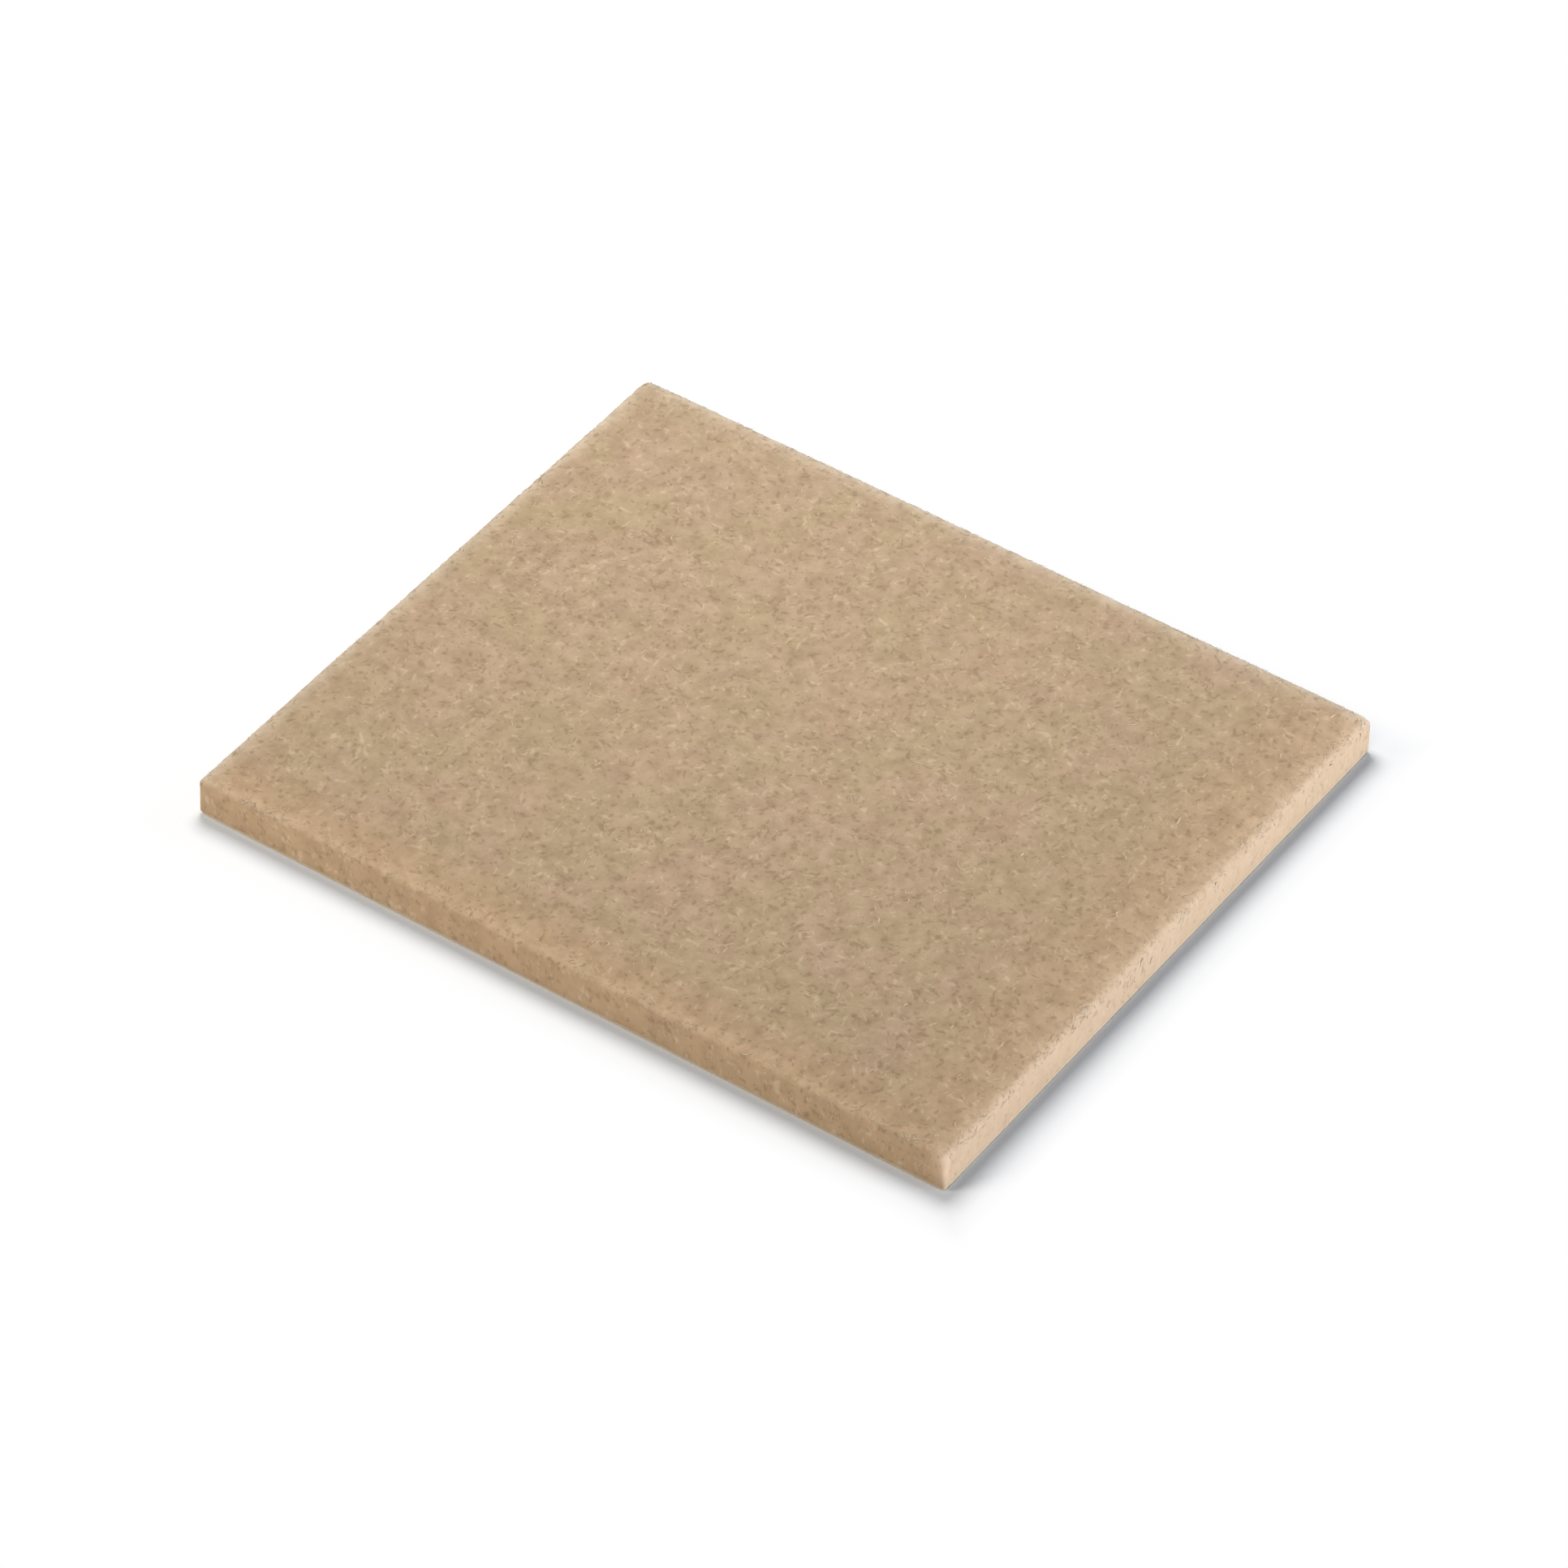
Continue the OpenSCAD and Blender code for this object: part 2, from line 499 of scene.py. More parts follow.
class FeltForm(CutSlab):
    """The felt slab with its relief, whose heights are repeating fields of noise.

    The face has combed nap, lumps and needle marks. The cut walls have upright fibre ends and wander.
    """

    # Size of a field's cells, rows and columns of the face's fields, and rows of the walls' fields
    cell = 0.25 * MM
    face_field = (384, 448)
    wall_field_rows = 32

    def __init__(self, felt):
        radii = felt.shoulder_radius, felt.foot_radius, felt.corner_radius
        super().__init__(FELT_LOW, FELT_HIGH, *radii, FELT_CELLS, FELT_WALL_ROWS)
        self.felt = felt
        face = self.face_field
        wall = (self.wall_field_rows, round(self.girth / self.cell))
        every_way = np.arange(8) * math.pi / 8 + 0.2
        upright = QUARTER_TURN + np.array([-0.4, -0.15, 0.1, 0.35])
        one_way = [0.0]
        self.nap = combed_noise(11, face, self.cell, 0.45 * MM, 0.2 * MM, every_way)
        self.lumps = combed_noise(12, face, self.cell, 0.5 * MM, 0.5 * MM, one_way)
        self.pits = needle_marks(13, face, self.cell, per_square_mm=0.34, radius=0.2 * MM)
        self.ends = combed_noise(14, wall, self.cell, 1.4 * MM, 0.32 * MM, upright)
        self.sway = combed_noise(15, wall, self.cell, 4 * MM, 4 * MM, one_way)

    def face_relief(self, x, y):
        """Height of the face's relief at plan points: nap and lumps, less the needle marks."""
        felt = self.felt
        nap = felt.nap_height * read_field(self.nap, self.cell, x, y)
        lumps = felt.lump_height * read_field(self.lumps, self.cell, x, y)
        return nap + lumps - felt.pit_depth * read_field(self.pits, self.cell, x, y)

    def wall_relief(self, around, z):
        """How far the wall stands out, at a distance along the outline and a height."""
        ends = read_field(self.ends, self.cell, around, z)
        sway = read_field(self.sway, self.cell, around, np.zeros_like(around))
        return self.felt.wall_height * ends + self.felt.wander * sway

    def fall(self, x, y):
        """How far the face has sunk, less the crown.

        Each side gives its fall times exp(-distance / reach), and the greatest of them counts.
        """
        felt = self.felt
        left = felt.edge_fall * np.exp(-(self.half_x + x) / felt.edge_reach)
        right = felt.right_fall * np.exp(-(self.half_x - x) / felt.edge_reach)
        front_or_back = felt.edge_fall * np.exp(-(self.half_y - np.abs(y)) / felt.edge_reach)
        return np.maximum(np.maximum(left, right), front_or_back) - felt.crown

    def face_height(self, x, y):
        """Height of the felt's upper surface at plan points, shoulders included."""
        into = np.clip(self.shoulder - self.inward(x, y), 0, self.shoulder)
        drop = self.shoulder - np.sqrt(self.shoulder**2 - into**2)
        return self.high - drop - self.fall(x, y) + self.face_relief(x, y)

    def worn(self, points):
        """Points with the two worn corners drawn in, by the square root of the height on the wall."""
        x, y, z = np.moveaxis(points, -1, 0)
        knee, top = self.low + self.foot, self.high - self.shoulder
        front = (x > 0) & (y < 0)
        back = (x < 0) & (y > 0)
        share = np.sqrt(np.clip((z - knee) / (top - knee), 0, 1)) * (front | back)
        reach_x = np.where(front, self.felt.front_wear[0], self.felt.back_wear)
        reach_y = np.where(front, self.felt.front_wear[1], self.felt.back_wear)
        draw_x, draw_y = self.drawn_in(x, y, reach_x, reach_y)
        return np.stack([x + share * draw_x, y + share * draw_y, z], -1)

    def outline(self, start, offsets):
        """Plan points on the outline's straight sides and the direction out of it.

        A strand starts at a distance along the outline, and its offsets keep it on that one side and
        a margin away from the round corners.
        """
        length, width = 2 * self.half_x, 2 * self.half_y
        margin = 2 * self.corner
        corners = np.cumsum([0, length, width, length, width])
        side = np.searchsorted(corners[1:4], start, side="right")
        low, high = corners[side] + margin, corners[side + 1] - margin
        around = np.clip(start[:, None] + offsets, low[:, None], high[:, None])
        x = np.interp(around, corners, np.array([-1, 1, 1, -1, -1]) * self.half_x)
        y = np.interp(around, corners, np.array([-1, -1, 1, 1, -1]) * self.half_y)
        out_x = np.array([0.0, 1.0, 0.0, -1.0])[side][:, None]
        out_y = np.array([-1.0, 0.0, 1.0, 0.0])[side][:, None]
        return around, x, y, out_x, out_y

    def round_shoulder(self, x, y, out_x, out_y, turn, stand, before=0.0):
        """Strands round the shoulder and the direction in which each one's middle faces.

        From outline points, a strand point lies at the shoulder's radius plus stand from its centre,
        turned down from upright by turn, and before is how far it lies on the face, as a minus.
        """
        reach = self.shoulder + stand
        out = reach * np.sin(turn) + before - self.shoulder
        x = x + out * out_x
        y = y + out * out_y
        z = self.high - self.shoulder + reach * np.cos(turn) - self.fall(x, y)
        middle = turn[:, STRAND_STEPS // 2]
        tilt = np.sin(middle)
        lift = np.stack([out_x[:, 0] * tilt, out_y[:, 0] * tilt, np.cos(middle)], -1)
        return np.stack([x, y, z], -1), lift

    def relieved(self):
        """The built slab with its fall, its worn corners, its relief along the normal and FELT_VALUES.

        The painted sheen is exp(-distance / reach) from the left and back edges. The paler front right
        corner fades along the front wall and in from it, times the square root of the height.
        """
        felt = self.felt
        shape = self.build()
        points, walls = shape["vertices"], shape["walls"]
        x, y, z = points.T
        around = self.around(x, y)
        from_right, from_front = self.half_x - x, self.half_y + y
        from_left_or_back = np.minimum(self.half_x + x, self.half_y - y)
        fade = np.clip((z - self.low - self.foot) / (self.high - self.low), 0, 1)
        above = np.clip((z - self.low) / self.foot, 0, 1)
        clean = np.clip(1 - from_right / felt.clean_reach, 0, 1)
        face = (1 - walls) * self.face_relief(x, y)
        wall = walls * self.wall_relief(around, z) * above
        proud = (face + wall) * (1 - RIGHT_SMOOTHER * clean)
        vertices = self.worn(points + shape["normals"] * proud[:, None])
        vertices[:, 2] -= self.fall(x, y) * np.where(walls < 1, 1, fade)
        nap = read_field(self.nap, self.cell, x, y)
        ends = read_field(self.ends, self.cell, around, z)
        frayed_x = np.clip(1 - from_right / felt.fray, 0, 1)
        frayed_y = np.clip(1 - from_front / felt.front_wear[0], 0, 1)
        shape.update(
            vertices=vertices,
            ridges=(1 - walls) * nap + walls * ends,
            pits=(1 - walls) * read_field(self.pits, self.cell, x, y),
            near=np.minimum(RIGHT_NEARER * from_right, from_front) / MM,
            rim=self.inward(x, y) / MM,
            haze=np.exp(-np.maximum(from_left_or_back, 0) / felt.haze_reach),
            frayed=frayed_x * frayed_y * np.sqrt(fade),
            clean=clean,
        )
        return shape


def strand_tubes(paths, lift, radius, flatness):
    """Closed three-sided tubes along many paths at once.

    paths holds count x steps points, lift the surface's direction for each strand, and radius a
    value for each point. Each ring lies across the path, its first corner points along lift, and
    flatness is its height as a share of its width.
    Returns vertices, quads, end triangles and a bake map with one cell for each strand.
    """
    count, steps, _ = paths.shape
    along = np.gradient(paths, axis=1)
    along /= np.linalg.norm(along, axis=2)[..., None]
    side = np.cross(np.broadcast_to(lift[:, None, :], along.shape), along)
    side /= np.maximum(np.linalg.norm(side, axis=2), TINY)[..., None]
    up = np.cross(along, side) * flatness
    angle = (QUARTER_TURN + np.arange(STRAND_SIDES) * 2 * math.pi / STRAND_SIDES)[:, None]
    spoke = side[:, :, None, :] * np.cos(angle) + up[:, :, None, :] * np.sin(angle)
    vertices = paths[:, :, None, :] + radius[:, :, None, None] * spoke
    index = np.arange(count * steps * STRAND_SIDES).reshape(count, steps, STRAND_SIDES)
    turned = np.roll(index, -1, axis=2)
    quads = np.stack([index[:, :-1], turned[:, :-1], turned[:, 1:], index[:, 1:]], -1)
    caps = np.stack([index[:, 0, ::-1], index[:, -1]], 1)

    columns = math.ceil(math.sqrt(count))
    cell = np.stack([np.arange(count) % columns, np.arange(count) // columns], -1)[:, None, None, :]
    step, part = np.meshgrid(np.arange(steps - 1), np.arange(STRAND_SIDES), indexing="ij")
    left, right = step / (steps - 1), (step + 1) / (steps - 1)
    lower, upper = part / STRAND_SIDES, (part + 1) / STRAND_SIDES
    corners = ((left, lower), (left, upper), (right, upper), (right, lower))
    box = np.stack([np.stack(corner, -1) for corner in corners], -2)
    margin = 0.1
    quad_map = box[None] * (1 - 2 * margin) + margin + cell[:, None]
    first_cap = np.array([[1, 1], [2, 1], [1, 3]]) * margin
    cap_map = np.stack([first_cap, 1 - first_cap])[None] + cell
    bake_map = np.concatenate([quad_map.reshape(-1, 2), cap_map.reshape(-1, 2)]) / columns
    return vertices.reshape(-1, 3), quads.reshape(-1, 4), caps.reshape(-1, 3), bake_map


def curls(rng, count, lengths, spread, middle_heading=0.0):
    """Flat curled paths about the origin, of lengths between two limits in millimetres.

    The heading along a path is a start heading plus a steady bend plus one slow wave, and the path is
    the running sum of unit steps along it. Returns sideways and forward offsets of every point.
    """
    length = rng.uniform(*lengths, count) * MM
    start = middle_heading + rng.uniform(-spread, spread, count)
    bend = rng.normal(0, 1.1, count)
    wave = rng.normal(0, 0.5, count)
    phase = rng.uniform(0, 2 * math.pi, count)
    heading = start[:, None] + bend[:, None] * (ALONG - 0.5)
    heading = heading + wave[:, None] * np.sin(2 * math.pi * ALONG + phase[:, None])
    step = length[:, None, None] / (STRAND_STEPS - 1)
    offsets = np.cumsum(np.stack([np.cos(heading), np.sin(heading)], -1) * step, axis=1)
    return offsets - offsets.mean(axis=1, keepdims=True)


def bundles(rng, count, radius, widths, heights):
    """Half widths of flattened bundles of fibre, and how far each of their points stands off the felt.

    A bundle rises in a low arch 4 t (1 - t) and dives back in, so its ends are sunk in the felt.
    widths are limits as shares of the radius, and heights are limits as shares of its own height.
    """
    thick = radius * rng.uniform(*widths, count)[:, None]
    height = BUNDLE_FLATNESS * thick
    arch = rng.uniform(*heights, count)[:, None] * height * 4 * ALONG * (1 - ALONG)
    return thick, arch - BUNDLE_SUNK * height


# Meshes


def make_piece(name, vertices, face_sets, bake_map, material, values=None):
    """Puts whole arrays into a mesh object at the origin.

    face_sets are arrays of faces, one row a face, in the order of the bake map's corners.
    values are named numbers at the vertices, for the material to read.
    """
    mesh = bpy.data.meshes.new(name)
    corners = np.concatenate([faces.ravel() for faces in face_sets])
    sizes = np.concatenate([np.full(len(faces), faces.shape[1]) for faces in face_sets])
    starts = np.concatenate([[0], np.cumsum(sizes)[:-1]])
    mesh.vertices.add(len(vertices))
    mesh.vertices.foreach_set("co", vertices.astype(np.float32).ravel())
    mesh.loops.add(len(corners))
    mesh.loops.foreach_set("vertex_index", corners.astype(np.int32))
    mesh.polygons.add(len(starts))
    mesh.polygons.foreach_set("loop_start", starts.astype(np.int32))
    mesh.polygons.foreach_set("use_smooth", np.ones(len(starts), dtype=bool))
    layer = mesh.uv_layers.new(name=BAKE_MAP)
    layer.uv.foreach_set("vector", bake_map.astype(np.float32).ravel())
    for label, numbers in (values or {}).items():
        attribute = mesh.attributes.new(label, "FLOAT", "POINT")
        attribute.data.foreach_set("value", numbers.astype(np.float32).ravel())
    mesh.update(calc_edges=True)
    if mesh.validate():
        raise RuntimeError(f"{name}: the mesh had faults")
    mesh.materials.append(material)
    piece = bpy.data.objects.new(name, mesh)
    # Keeps the felt from tinting the floor's shadow
    piece.visible_diffuse = False
    bpy.context.scene.collection.objects.link(piece)
    return piece


def slab_piece(name, shape, material, values=()):
    """A built slab as a piece, with those of its arrays that the material reads."""
    faces = [shape["quads"], shape["underside"][None, :]]
    numbers = {label: shape[label] for label in values}
    return make_piece(name, shape["vertices"], faces, shape["map"], material, numbers)


# Nodes


def add(tree, kind, inputs=None, **settings):
    """A new node of that kind; each input is a plain value, or a socket that is linked to it."""
    node = tree.nodes.new(kind)
    for name, value in settings.items():
        setattr(node, name, value)
    for name, value in (inputs or {}).items():
        if isinstance(value, bpy.types.NodeSocket):
            tree.links.new(value, node.inputs[name])
        else:
            node.inputs[name].default_value = value
    return node


def maths(tree, operation, first, second=0.0):
    """The value of one sum."""
    return add(tree, "ShaderNodeMath", {0: first, 1: second}, operation=operation).outputs[0]


def chained(tree, operation, values):
    """The value of one operation carried along several values."""
    result = values[0]
    for value in values[1:]:
        result = maths(tree, operation, result, value)
    return result


def product(tree, *values):
    """Several values multiplied."""
    return chained(tree, "MULTIPLY", values)


def total(tree, *values):
    """Several values added."""
    return chained(tree, "ADD", values)


def highest(tree, *values):
    """The greatest of several values."""
    return chained(tree, "MAXIMUM", values)


def vectors(tree, operation, first, second):
    """The vector that one operation gives; SCALE takes a number as its second value."""
    slot = "Scale" if operation == "SCALE" else 1
    return add(tree, "ShaderNodeVectorMath", {0: first, slot: second}, operation=operation).outputs[0]


def ramped(tree, value, low, high, to_low=0.0, to_high=1.0):
    """A value carried smoothly from one range to another and held at its ends."""
    inputs = {0: value, 1: low, 2: high, 3: to_low, 4: to_high}
    return add(tree, "ShaderNodeMapRange", inputs, interpolation_type="SMOOTHSTEP").outputs[0]


def blended(tree, factor, first, second, mode="MIX"):
    """Two colours mixed by a factor."""
    inputs = {0: factor, 6: first, 7: second}
    return add(tree, "ShaderNodeMix", inputs, data_type="RGBA", blend_type=mode).outputs[2]


def colour4(colour):
    """A colour with its alpha, as a socket holds it."""
    return (colour[0], colour[1], colour[2], 1.0)


def layered(tree, base, *layers):
    """A colour with others laid over it in turn, each through its mask."""
    for mask, colour in layers:
        base = blended(tree, mask, base, colour4(colour))
    return base


def noise(tree, position, scale, detail=2.0, roughness=0.5):
    """Outputs of a noise texture at a position."""
    inputs = {"Vector": position, "Scale": scale, "Detail": detail, "Roughness": roughness}
    return add(tree, "ShaderNodeTexNoise", inputs).outputs


def attribute(tree, name):
    """A number that the piece's vertices carry."""
    return add(tree, "ShaderNodeAttribute", attribute_name=name).outputs["Fac"]


def stirred(tree, position, scale, reach):
    """A position pushed about by slow noise, so that a pattern read there bends."""
    push = vectors(tree, "SUBTRACT", noise(tree, position, scale, 1.0)["Color"], (0.5, 0.5, 0.5))
    return vectors(tree, "ADD", position, vectors(tree, "SCALE", push, reach))


def shared_group(name, inputs, outputs, fill):
    """A shader node group that is built at its first use, with a position among its inputs.

    inputs are the other numbers with their defaults, and fill gives the output sockets in order.
    """
    if name in bpy.data.node_groups:
        return bpy.data.node_groups[name]
    tree = bpy.data.node_groups.new(name, "ShaderNodeTree")
    tree.interface.new_socket("Position", in_out="INPUT", socket_type="NodeSocketVector")
    for label, value in inputs.items():
        socket = tree.interface.new_socket(label, in_out="INPUT", socket_type="NodeSocketFloat")
        socket.default_value = value
    for label in outputs:
        tree.interface.new_socket(label, in_out="OUTPUT", socket_type="NodeSocketFloat")
    given = tree.nodes.new("NodeGroupInput").outputs
    result = tree.nodes.new("NodeGroupOutput").inputs
    for label, socket in zip(outputs, fill(tree, given)):
        tree.links.new(socket, result[label])
    return tree


def placed(tree, group, position, values=None):
    """Outputs of a node group that is placed in a material with its own values."""
    inputs = {"Position": position, **(values or {})}
    return add(tree, "ShaderNodeGroup", inputs, node_tree=group).outputs


def fill_fibres(tree, given):
    """Curled fibres that lie in every direction, as one mask, and the gaps that they leave, as another.

    The position is stirred by slow noise, turned to each of six headings and squeezed across it, so
    that noise read there makes long thin streaks; the strongest heading wins. Upright on the walls.
    """
    headings = 6
    position = stirred(tree, given["Position"], 0.45, given["Curl"])
    long_scale = maths(tree, "DIVIDE", 1.0, given["Length"])
    thin_scale = maths(tree, "DIVIDE", 1.0, given["Width"])
    scales = {0: long_scale, 1: thin_scale, 2: long_scale}
    squeeze = add(tree, "ShaderNodeCombineXYZ", scales).outputs[0]
    streaks = []
    for heading in range(headings):
        # Each heading turns about a point of its own, so no two read the same noise
        turn = {
            "Vector": position,
            "Angle": math.radians(180 / headings * heading + 11),
            "Center": (7.0 * heading, 3.0, 0.0),
        }
        turned = add(tree, "ShaderNodeVectorRotate", turn, rotation_type="Z_AXIS").outputs[0]
        drawn = vectors(tree, "MULTIPLY", turned, squeeze)
        streaks.append(noise(tree, drawn, 1.0, 1.0, 0.4)["Fac"])
    strongest = highest(tree, *streaks)
    full = maths(tree, "ADD", given["Sparse"], given["Softness"])
    deepest = maths(tree, "SUBTRACT", given["Gap Level"], 0.05)
    mask = ramped(tree, strongest, given["Sparse"], full)
    gaps = ramped(tree, strongest, deepest, given["Gap Level"], 1.0, 0.0)
    return mask, gaps


def fibre_group():
    """The group of matted fibres. Length and width are in millimetres."""
    streak = {"Length": 2.8, "Width": 0.42, "Curl": 1.2}
    levels = {"Sparse": 0.57, "Softness": 0.2, "Gap Level": 0.56}
    return shared_group("matted_fibres", {**streak, **levels}, ("Fibres", "Gaps"), fill_fibres)


def fill_dents(tree, given):
    """Small dents in a level face, as a mask: soft spots in some cells of a flat Voronoi pattern."""
    position = stirred(tree, given["Position"], 1.1, given["Radius"])
    scale = maths(tree, "DIVIDE", 1.0, given["Spacing"])
    inputs = {"Vector": position, "Scale": scale}
    cells = add(tree, "ShaderNodeTexVoronoi", inputs, voronoi_dimensions="2D").outputs
    reach = maths(tree, "DIVIDE", given["Radius"], given["Spacing"])
    spot = ramped(tree, cells["Distance"], product(tree, reach, 0.3), reach, 1.0, 0.0)
    chance = add(tree, "ShaderNodeSeparateColor", {0: cells["Color"]}).outputs[0]
    return (product(tree, spot, ramped(tree, chance, 0.35, 1.0)),)


def dent_group():
    """The group of scattered dents. Spacing and radius are in millimetres."""
    return shared_group("scattered_dents", {"Spacing": 1.6, "Radius": 0.3}, ("Dents",), fill_dents)


def fill_patches(tree, given):
    """Soft patches of two shades, as a value from 0 to 1, with fine grain over them as another."""
    spots = []
    for size, low, high in (("Patch Size", 0.34, 0.66), ("Grain Size", 0.25, 0.75)):
        scale = maths(tree, "DIVIDE", 1.0, given[size])
        spots.append(ramped(tree, noise(tree, given["Position"], scale, 2.0, 0.55)["Fac"], low, high))
    return spots


def patch_group():
    """The group of soft patches. Both sizes are in millimetres."""
    sizes = {"Patch Size": 6.0, "Grain Size": 0.6}
    return shared_group("soft_patches", sizes, ("Patches", "Grain"), fill_patches)


# Materials


def new_material(name):
    """A material, its node tree and the position on the piece in millimetres."""
    material = bpy.data.materials.new(name)
    material.use_nodes = True
    tree = material.node_tree
    where = tree.nodes.new("ShaderNodeTexCoord").outputs["Object"]
    return material, tree, vectors(tree, "SCALE", where, MM_PER_METRE)


def dress(tree, colour, roughness, height=None, strength=0.25, depth=0.05):
    """Links colour, roughness and a bump's height to the shader, whose sockets it gives.

    The bump's depth is in millimetres.
    """
    sockets = tree.nodes["Principled BSDF"].inputs
    tree.links.new(colour, sockets["Base Color"])
    tree.links.new(roughness, sockets["Roughness"])
    if height is not None:
        inputs = {"Height": height, "Strength": strength, "Distance": depth * MM}
        bump = add(tree, "ShaderNodeBump", inputs)
        tree.links.new(bump.outputs[0], sockets["Normal"])
    return sockets


def felt_masks(tree, position):
    """Where the felt has its marks, as masks by name, and the numbers at its vertices.

    Dashes are short pale bundles, strokes are short dark ones, and dents and gaps are dark too, with
    painted shade in these hollows. There are fewer marks at the brightly lit right side, and the dents
    stay on the face.
    """
    on = {name: attribute(tree, name) for name in FELT_VALUES}
    on["upper"] = maths(tree, "SUBTRACT", 1.0, on["walls"])
    # Fewer marks towards the brightly lit right side
    on["marked"] = ramped(tree, on["clean"], 0.0, 0.9, 1.0, 0.45)
    patches = placed(tree, patch_group(), position, {"Patch Size": 8.0, "Grain Size": 0.75})
    on["patches"] = patches["Patches"]
    on["grain"] = patches["Grain"]
    on["lumps"] = noise(tree, position, 0.95, 1.2, 0.5)["Fac"]
    on["clouds"] = noise(tree, position, 0.36, 2.0)["Fac"]
    mat = placed(tree, fibre_group(), position)
    on["fibres"] = mat["Fibres"]
    on["gaps"] = product(tree, mat["Gaps"], ramped(tree, on["walls"], 0.0, 1.0, 1.0, 0.3))
    short = {"Width": 0.75, "Curl": 0.4}
    pale = {"Length": 1.7, "Sparse": 0.685, "Softness": 0.085, **short}
    dark = {"Length": 1.3, "Sparse": 0.695, "Softness": 0.062, **short}
    elsewhere = vectors(tree, "ADD", position, (31.0, 17.0, 0.0))
    dashes = placed(tree, fibre_group(), position, pale)["Fibres"]
    strokes = placed(tree, fibre_group(), elsewhere, dark)["Fibres"]
    dents = placed(tree, dent_group(), position, {"Spacing": 1.9, "Radius": 0.42})["Dents"]
    on["dashes"] = product(tree, dashes, on["marked"])
    on["strokes"] = product(tree, strokes, on["marked"])
    on["dents"] = product(tree, dents, on["upper"], on["marked"])
    return on


def felt_material(felt):
    """Needle-punched felt: two shades in soft patches, pale fibres, dark marks, browner cut walls.

    The colours are laid over each other from the ground up: the walls' brown, which reaches a little
    over the face at the front and right, a painted highlight along the rim, a painted sheen at the left
    and back edges and on the right wall, the paler front right corner, the pale crest of the shoulder,
    the pale fibres and the dark marks, which are dark fibres and painted shade in the pits, dents and
    gaps. An uneven tone then lightens and darkens all.
    """
    material, tree, position = new_material("tan_felt")
    on = felt_masks(tree, position)
    walls, upper, lumps = on["walls"], on["upper"], on["lumps"]
    browner = highest(tree, walls, ramped(tree, on["near"], 1.0, 9.0, 0.7, 0.0))
    # Painted highlight along the face's rim, ragged by the grain and fading inwards
    ragged = total(tree, on["rim"], product(tree, on["grain"], 1.4))
    rim = product(tree, ramped(tree, ragged, 0.3, 3.6, 0.55, 0.0), upper)
    # Painted sheen: a pale whitish layer along the left and back edges and on the brightly lit right
    # wall
    haze = product(tree, ramped(tree, on["haze"], 0.0, 0.6, 0.0, 0.62), upper)
    haze = highest(tree, haze, product(tree, on["clean"], walls, 0.07))
    # Paler towards the front right corner and higher up the front wall
    frayed = ramped(tree, on["frayed"], 0.0, 0.7, 0.0, 0.95)
    crest = product(
        tree,
        ramped(tree, walls, 0.01, 0.12),
        ramped(tree, walls, 0.3, 0.75, 0.2, 0.0),
        ramped(tree, lumps, 0.38, 0.62, 0.2, 1.0),
    )
    weights = {"fibres": 0.06, "dashes": 0.55}
    pale = highest(tree, *[product(tree, on[name], weight) for name, weight in weights.items()])
    # Dents, pits and gaps are darkened as painted shade in their hollows; strokes are dark fibres
    weights = {"dents": 0.42, "pits": 0.2, "gaps": 0.12, "strokes": 0.4}
    marks = [product(tree, on[name], weight) for name, weight in weights.items()]
    pit_shade_and_dark_fibres = highest(tree, *marks, ramped(tree, lumps, 0.27, 0.35, 0.3, 0.0))
    base = layered(
        tree,
        colour4(felt.olive_tan),
        (on["patches"], felt.rosy_tan),
        (browner, felt.cut_tan),
        (rim, felt.rim_highlight_tan),
        (haze, felt.haze_tan),
        (frayed, felt.rim_highlight_tan),
        (crest, felt.pale_fibre),
        (pale, felt.pale_fibre),
        (pit_shade_and_dark_fibres, felt.pit_shade_and_dark_fibre_brown),
    )
    # The ridges' part lightens the relief's crests and darkens its furrows, painted light and shade;
    # the other parts vary at random
    uneven = total(
        tree,
        ramped(tree, on["grain"], 0.0, 1.0, -0.03, 0.03),
        ramped(tree, on["ridges"], -2.5, 2.5, -0.05, 0.05),
        ramped(tree, on["clouds"], 0.3, 0.7, -0.2, 0.2),
        ramped(tree, lumps, 0.3, 0.7, -0.1, 0.1),
    )
    calm = product(tree, ramped(tree, walls, 0.0, 1.0, 1.0, 0.8), on["marked"])
    tone = total(tree, product(tree, uneven, calm), 0.5)
    tint = blended(tree, tone, (0.81, 0.785, 0.75, 1.0), (1.19, 1.215, 1.25, 1.0))
    base = blended(tree, 1.0, base, tint, "MULTIPLY")
    rough = ramped(tree, on["fibres"], 0.0, 1.0, 0.96, 0.84)
    height = total(tree, product(tree, on["fibres"], 0.5), on["grain"])
    height = maths(tree, "SUBTRACT", height, highest(tree, on["dents"], on["gaps"]))
    sockets = dress(tree, base, rough, height)
    sockets["Specular IOR Level"].default_value = 0.2
    sockets["Sheen Weight"].default_value = 0.35
    sockets["Sheen Roughness"].default_value = 0.4
    sockets["Sheen Tint"].default_value = (0.97, 0.95, 0.92, 1.0)
    return material


def fibre_material(felt):
    """Single fibres: each has its own shade between the felt's tan and the palest fibre."""
    material, tree, position = new_material("loose_fibre")
    uneven = noise(tree, position, 1.4, 1.0)["Fac"]
    middle = [(a + b) / 2 for a, b in zip(felt.olive_tan, felt.rosy_tan)]
    colour = layered(tree, colour4(middle), (attribute(tree, "shade"), felt.pale_fibre))
    colour = vectors(tree, "SCALE", colour, ramped(tree, uneven, 0.3, 0.7, 0.94, 1.06))
    sockets = dress(tree, colour, ramped(tree, uneven, 0.3, 0.7, 0.75, 0.9))
    sockets["Specular IOR Level"].default_value = 0.25
    sockets["Sheen Weight"].default_value = 0.1
    return material


